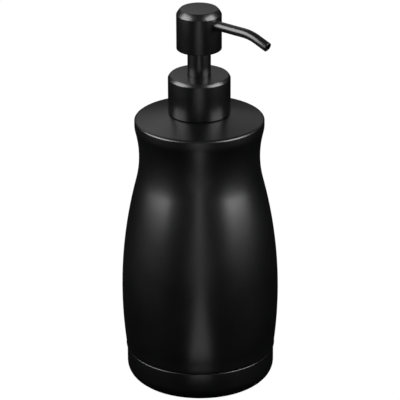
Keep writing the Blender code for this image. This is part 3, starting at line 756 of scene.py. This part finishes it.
# Piston.
# A moulded rod with a flange that the spring pushes, plugged into the hollow stem. A soft seal with a lip at
# each end slips a little on the rod to open the way up. All three run inside the pump, out of sight.
refinish("piston_rod", natural_plastic)
refinish("piston_seal", hazy_plastic)
refinish("stem_tube", natural_plastic)


# Lock cup.
# A moulded cup snapped into the mouth of the pump body. The sleeve slides in it and the hole in its floor
# guides the stem.
LOCK_FLANGE = 1.4 * MM
GUIDE_WALL = 1.3 * MM
GUIDE_FLOOR = 2.0 * MM
STEM_PLAY = 0.4 * MM
GUIDE_EDGE = 0.3 * MM
GUIDE_LIP = 0.4 * MM
GUIDE_FILLET = 0.5 * MM
GUIDE_ROUND = 0.6 * MM
guide_side = mouth_bore - PLASTIC_FIT
guide_bore = guide_side - GUIDE_WALL
guide_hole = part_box("stem_tube")[1].x + STEM_PLAY
guide_floor = guide_low.z + GUIDE_FLOOR
lock_cup = turned("lock_cup_moulded", rounded([
    (guide_high.x, guide_high.z, GUIDE_EDGE),
    (guide_high.x, guide_high.z - LOCK_FLANGE, GUIDE_EDGE),
    (guide_side, guide_high.z - LOCK_FLANGE, GUIDE_EDGE),
    (guide_side, guide_low.z, GUIDE_ROUND),
    (guide_hole, guide_low.z, GUIDE_EDGE),
    (guide_hole, guide_floor, GUIDE_EDGE),
    (guide_bore, guide_floor, GUIDE_FILLET),
    (guide_bore, guide_high.z, GUIDE_LIP),
]), natural_plastic, 96)
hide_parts("lock_cup")
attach(lock_cup, "pump_unit")


# Gasket.
# A punched washer of closed-cell foam. It lies on the lip of the neck, and the pump's flange is screwed
# down on it, so that the bottle doesn't leak.
GASKET_EDGE = 0.25 * MM
GASKET_PLAY = 0.4 * MM
FOAM_WHITE = (0.84, 0.84, 0.82, 1.0)
FOAM_GREY = (0.70, 0.70, 0.68, 1.0)


def make_foam():
    """White closed-cell foam: dull, with small pores."""
    material, tree, shader = new_material("gasket_foam")
    grain = use_group(tree, surface_grain, (-900, 200), Grain_Size=0.4, Patch_Size=5.0)
    place = node(tree, "ShaderNodeTexCoord", (-1150, -150)).outputs["Object"]
    cells = node(tree, "ShaderNodeTexVoronoi", (-900, -150), Vector=place, Scale=2200.0)
    tone = tinted(tree, (-500, 300), grain.outputs["Patch"], FOAM_GREY, FOAM_WHITE)
    tree.links.new(tone, shader.inputs["Base Color"])
    tree.links.new(spread(tree, (-500, 0), grain.outputs["Patch"], 0.80, 0.92), shader.inputs["Roughness"])
    tree.links.new(bump(tree, (-250, -200), cells.outputs["Distance"], 0.12 * MM), shader.inputs["Normal"])
    return material


gasket_low, gasket_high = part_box("closure_gasket")
gasket_bore = mouth_bore + PUMP_WALL + GASKET_PLAY
gasket = turned("gasket", rounded([
    (gasket_high.x, gasket_high.z, GASKET_EDGE),
    (gasket_high.x, gasket_low.z, GASKET_EDGE),
    (gasket_bore, gasket_low.z, GASKET_EDGE),
    (gasket_bore, gasket_high.z, GASKET_EDGE),
]), make_foam(), 96)
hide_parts("closure_gasket")
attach(gasket, "gasket")


# Closure nut.
# A moulded screw cap pressed into the collar, with a shelf that holds the pump's flange down on the neck.
# Its outside is chamfered at the top, which clears the collar's bevel.
NUT_BEVEL_REACH = 1.15 * MM
NUT_BEVEL_DROP = 1.45 * MM
NUT_SHELF = 3.0 * MM
NUT_WALL = 1.3 * MM
NUT_EDGE = 0.4 * MM
NUT_LIP = 0.3 * MM
nut_low, nut_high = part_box("closure_nut")
nut_radius = nut_high.x
nut_bore = nut_radius - NUT_WALL
nut = turned("screw_cap", rounded([
    (nut_radius - NUT_BEVEL_REACH, nut_high.z, NUT_EDGE),
    (nut_radius, nut_high.z - NUT_BEVEL_DROP, NUT_EDGE),
    (nut_radius, nut_low.z, NUT_LIP),
    (nut_bore, nut_low.z, NUT_EDGE),
    (nut_bore, nut_high.z - NUT_SHELF, NUT_EDGE),
    (guide_bore, nut_high.z - NUT_SHELF, NUT_LIP),
    (guide_bore, nut_high.z, NUT_LIP),
]), natural_plastic, 96)
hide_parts("closure_nut")
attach(nut, "closure")


# Collar.
# A drawn metal cup over the screw cap, coated like the bottle, with a narrow soft bevel round its top and
# a plain hole for the sleeve. Turning it screws the closure on.
COLLAR_BEVEL_REACH = 1.15 * MM
COLLAR_BEVEL_DROP = 1.7 * MM
COLLAR_WALL = 0.8 * MM
BEVEL_SWELL = math.radians(12.0)
BEVEL_EDGE = 0.12 * MM
BEVEL_OFFSET = math.tan(math.pi / 8)
BEVEL_STEPS = 12
CAP_EDGE = 0.35 * MM
CAP_INNER_EDGE = 0.25 * MM
SLEEVE_PLAY = 0.15 * MM
collar_low, collar_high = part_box("collar_shell")
sleeve_low, sleeve_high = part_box("stem_sleeve")
collar_hole = sleeve_high.x + SLEEVE_PLAY


def soft_bevel(radius, top, reach, drop, steps):
    """Points down a slightly swelling bevel, from a flat top to an upright side."""
    swell = math.hypot(reach, drop) / 2 / math.sin(BEVEL_SWELL)
    first = math.atan2(reach, drop) + BEVEL_SWELL
    centre = (radius - reach - swell * math.cos(first), top - swell * math.sin(first))
    return arc(centre, swell, first, first - 2 * BEVEL_SWELL, steps)


def drawn_cap(name, radius, low, high, reach, drop, wall, hole):
    """A cup drawn from sheet, upside down, with a soft bevel round its top and perhaps a hole in it."""
    shrink = wall * BEVEL_OFFSET
    corners = [(hole, high, 0.0)]
    for place, point in enumerate(soft_bevel(radius, high, reach, drop, BEVEL_STEPS)):
        at_end = place in (0, BEVEL_STEPS)
        corners.append((point[0], point[1], BEVEL_EDGE if at_end else 0.0))
    corners.append((radius, low, CAP_EDGE))
    corners.append((radius - wall, low, CAP_INNER_EDGE))
    corners += soft_bevel(radius - wall, high - wall, reach - shrink, drop - shrink, BEVEL_STEPS // 2)[::-1]
    corners.append((hole, high - wall, 0.0))
    return turned(name, rounded(corners), satin_paint, 128)


collar = drawn_cap("collar", collar_high.x, collar_low.z, collar_high.z,
                   COLLAR_BEVEL_REACH, COLLAR_BEVEL_DROP, COLLAR_WALL, collar_hole)
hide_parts("collar_shell")
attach(collar, "closure")


# Sleeve.
# A coated metal tube fixed under the head that hides the plastic stem and slides down into the lock cup.
SLEEVE_WALL = 0.85 * MM
SLEEVE_EDGE = 0.2 * MM
SLEEVE_FOOT = 0.3 * MM
sleeve_radius = sleeve_high.x
sleeve = turned("sleeve", rounded([
    (sleeve_radius, sleeve_high.z, SLEEVE_EDGE),
    (sleeve_radius, sleeve_low.z, SLEEVE_FOOT),
    (sleeve_radius - SLEEVE_WALL, sleeve_low.z, SLEEVE_EDGE),
    (sleeve_radius - SLEEVE_WALL, sleeve_high.z, SLEEVE_EDGE),
]), satin_paint, 96)
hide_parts("stem_sleeve")
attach(sleeve, "head")


# Head.
# A moulded core with the sockets for stem, sleeve and spout sits inside a drawn metal cap, coated like the
# bottle. The cap has a flat top, a wide soft bevel and a close hole for the spout.
HEAD_BEVEL_REACH = 2.15 * MM
HEAD_BEVEL_DROP = 3.0 * MM
HEAD_WALL = 0.8 * MM
SPOUT_GAP = 0.12 * MM
head_low, head_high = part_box("head_shell")
spout_low, spout_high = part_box("spout_tube")
spout_radius = spout_high.y
head_radius = head_high.x
spout_height = spout_high.z - spout_radius
head = drawn_cap("head", head_radius, head_low.z, head_high.z,
                 HEAD_BEVEL_REACH, HEAD_BEVEL_DROP, HEAD_WALL, 0.0)
spout_hole = swept("spout_hole", [
    ((head_radius / 2, 0, spout_height), (1, 0, 0), spout_radius + SPOUT_GAP),
    ((head_radius * 1.5, 0, spout_height), (1, 0, 0), spout_radius + SPOUT_GAP),
], 48, satin_paint)
combined(head, spout_hole, "DIFFERENCE")
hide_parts("head_shell")
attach(head, "head")
refinish("head_core", natural_plastic)


# Spout.
# A thin metal tube pushed into the core through the cap, with one gentle bend down and a square-cut end.
# It is coated outside, and a little way into its open end.
SPOUT_WALL = 0.6 * MM
SPOUT_RUN = 29.8 * MM
SPOUT_BEND = 24.5 * MM
SPOUT_ANGLE = math.radians(21.0)
SPOUT_END = 7.55 * MM
BEND_STEPS = 16
LIP_STEPS = 6


def spout_line():
    """Centre and direction along the spout, from its root to its end."""
    line = [(Vector((spout_low.x, 0, spout_height)), Vector((1, 0, 0)))]
    for step in range(BEND_STEPS + 1):
        turn = SPOUT_ANGLE * step / BEND_STEPS
        centre = Vector((SPOUT_RUN + SPOUT_BEND * math.sin(turn), 0,
                         spout_height - SPOUT_BEND * (1 - math.cos(turn))))
        line.append((centre, Vector((math.cos(turn), 0, -math.sin(turn)))))
    last, ahead = line[-1]
    line.append((last + ahead * SPOUT_END, ahead))
    return line


route = spout_line()
spout_rings = [(centre, ahead, spout_radius) for centre, ahead in route[:-1]]
tip, ahead = route[-1]
lip = SPOUT_WALL / 2
for step in range(LIP_STEPS + 1):
    turn = math.pi * step / LIP_STEPS
    centre = tip - ahead * lip * (1 - math.sin(turn))
    spout_rings.append((centre, ahead, spout_radius - lip + lip * math.cos(turn)))
spout_rings += [(centre, direction, spout_radius - SPOUT_WALL) for centre, direction in route[-2::-1]]
spout = swept("spout", spout_rings, 48, satin_paint, closed=True)
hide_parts("spout_tube")
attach(spout, "head")


# Studio.
# A pale floor and a dim dome. A soft box stands at each side, with a panel and a soft box behind. Three
# cards in front, two of them lying on the floor, give the pale stripe down the middle.
FLOOR_SIZE = 3.0
FLOOR_PALE = (0.05, 0.05, 0.05, 1.0)
FLOOR_DIM = (0.003, 0.003, 0.003, 1.0)
FLOOR_GLOW = 0.975
DOME_START = 0.05
DOME_FULL = 0.45
DOME_LOW = 0.01
DOME_HIGH = 0.07
WHITE = (1.0, 1.0, 1.0, 1.0)
AIM = (0, 0, 0.12)
STRAIGHT_UP = (0, 0, 90)


def place_light(name, bearing, reach, height, width, tall, power, look_at):
    """A rectangular soft light at a bearing from the camera's side of the dispenser."""
    data = bpy.data.lights.new(name, "AREA")
    data.shape = "RECTANGLE"
    data.size = width
    data.size_y = tall
    data.energy = power
    light = bpy.data.objects.new(name, data)
    turn = CAMERA_BEARING + math.radians(bearing)
    light.location = (reach * math.sin(turn), -reach * math.cos(turn), height)
    light.rotation_mode = "QUATERNION"
    light.rotation_quaternion = (Vector(look_at) - light.location).to_track_quat("-Z", "Y")
    light.visible_camera = False
    bpy.context.scene.collection.objects.link(light)
    return light


def make_floor():
    """A large pale board: nearly white to look at, and dim in the dispenser's reflections."""
    mesh = bpy.data.meshes.new("floor")
    work = bmesh.new()
    bmesh.ops.create_grid(work, x_segments=8, y_segments=8, size=FLOOR_SIZE / 2)
    work.to_mesh(mesh)
    work.free()
    material = bpy.data.materials.new("floor_board")
    material.use_nodes = True
    tree = material.node_tree
    tree.nodes.clear()
    result = tree.nodes.new("ShaderNodeOutputMaterial")
    pale = node(tree, "ShaderNodeBsdfDiffuse", (-400, 200), Color=FLOOR_PALE)
    glow = node(tree, "ShaderNodeEmission", (-400, 0), Color=WHITE, Strength=FLOOR_GLOW)
    seen = node(tree, "ShaderNodeAddShader", (-200, 100))
    tree.links.new(pale.outputs[0], seen.inputs[0])
    tree.links.new(glow.outputs[0], seen.inputs[1])
    dim = node(tree, "ShaderNodeBsdfDiffuse", (-400, -200), Color=FLOOR_DIM)
    path = node(tree, "ShaderNodeLightPath", (-400, 500))
    choice = node(tree, "ShaderNodeMixShader", (0, 0))
    tree.links.new(path.outputs["Is Camera Ray"], choice.inputs[0])
    tree.links.new(dim.outputs[0], choice.inputs[1])
    tree.links.new(seen.outputs[0], choice.inputs[2])
    tree.links.new(choice.outputs[0], result.inputs["Surface"])
    mesh.materials.append(material)
    floor = bpy.data.objects.new("floor", mesh)
    floor.location.z = cad_box[0].z
    bpy.context.scene.collection.objects.link(floor)


def make_dome():
    """The studio round the dispenser: white to look at, dark in reflections, a little lighter higher up."""
    world = bpy.data.worlds.new("studio")
    bpy.context.scene.world = world
    world.use_nodes = True
    tree = world.node_tree
    tree.nodes.clear()
    result = tree.nodes.new("ShaderNodeOutputWorld")
    place = node(tree, "ShaderNodeTexCoord", (-1000, 0)).outputs["Generated"]
    height = node(tree, "ShaderNodeSeparateXYZ", (-800, 0), Vector=place).outputs["Z"]
    rise = node(tree, "ShaderNodeMapRange", (-600, 0), Value=height)
    rise.interpolation_type = "SMOOTHSTEP"
    rise.inputs["From Min"].default_value = DOME_START
    rise.inputs["From Max"].default_value = DOME_FULL
    rise.inputs["To Min"].default_value = DOME_LOW
    rise.inputs["To Max"].default_value = DOME_HIGH
    soft = node(tree, "ShaderNodeBackground", (-300, -100), Strength=rise.outputs["Result"])
    white = node(tree, "ShaderNodeBackground", (-300, 100), Strength=1.0)
    white.inputs["Color"].default_value = WHITE
    path = node(tree, "ShaderNodeLightPath", (-300, 400))
    choice = node(tree, "ShaderNodeMixShader", (0, 0))
    tree.links.new(path.outputs["Is Camera Ray"], choice.inputs[0])
    tree.links.new(soft.outputs[0], choice.inputs[1])
    tree.links.new(white.outputs[0], choice.inputs[2])
    tree.links.new(choice.outputs[0], result.inputs["Surface"])


make_floor()
make_dome()
place_light("left_soft_box", bearing=-77, reach=0.895, height=0.556,
            width=0.90, tall=0.87, power=12.3, look_at=AIM)
place_light("right_soft_box", bearing=66, reach=0.895, height=0.556,
            width=0.80, tall=0.87, power=11.6, look_at=AIM)
place_light("back_panel", bearing=180, reach=0.95, height=0.69,
            width=1.60, tall=0.62, power=0.70, look_at=(0, 0, 0.16))
place_light("back_soft_box", bearing=-155, reach=0.90, height=0.90,
            width=1.00, tall=0.50, power=0.50, look_at=AIM)
place_light("near_card", bearing=0, reach=0.215, height=0.002,
            width=0.034, tall=0.28, power=0.018, look_at=STRAIGHT_UP)
place_light("far_card", bearing=-1, reach=0.49, height=0.002,
            width=0.30, tall=0.26, power=0.095, look_at=STRAIGHT_UP)
place_light("front_card", bearing=-1, reach=0.64, height=0.135,
            width=0.10, tall=0.27, power=0.085, look_at=AIM)
bpy.context.scene.view_settings.view_transform = "Standard"
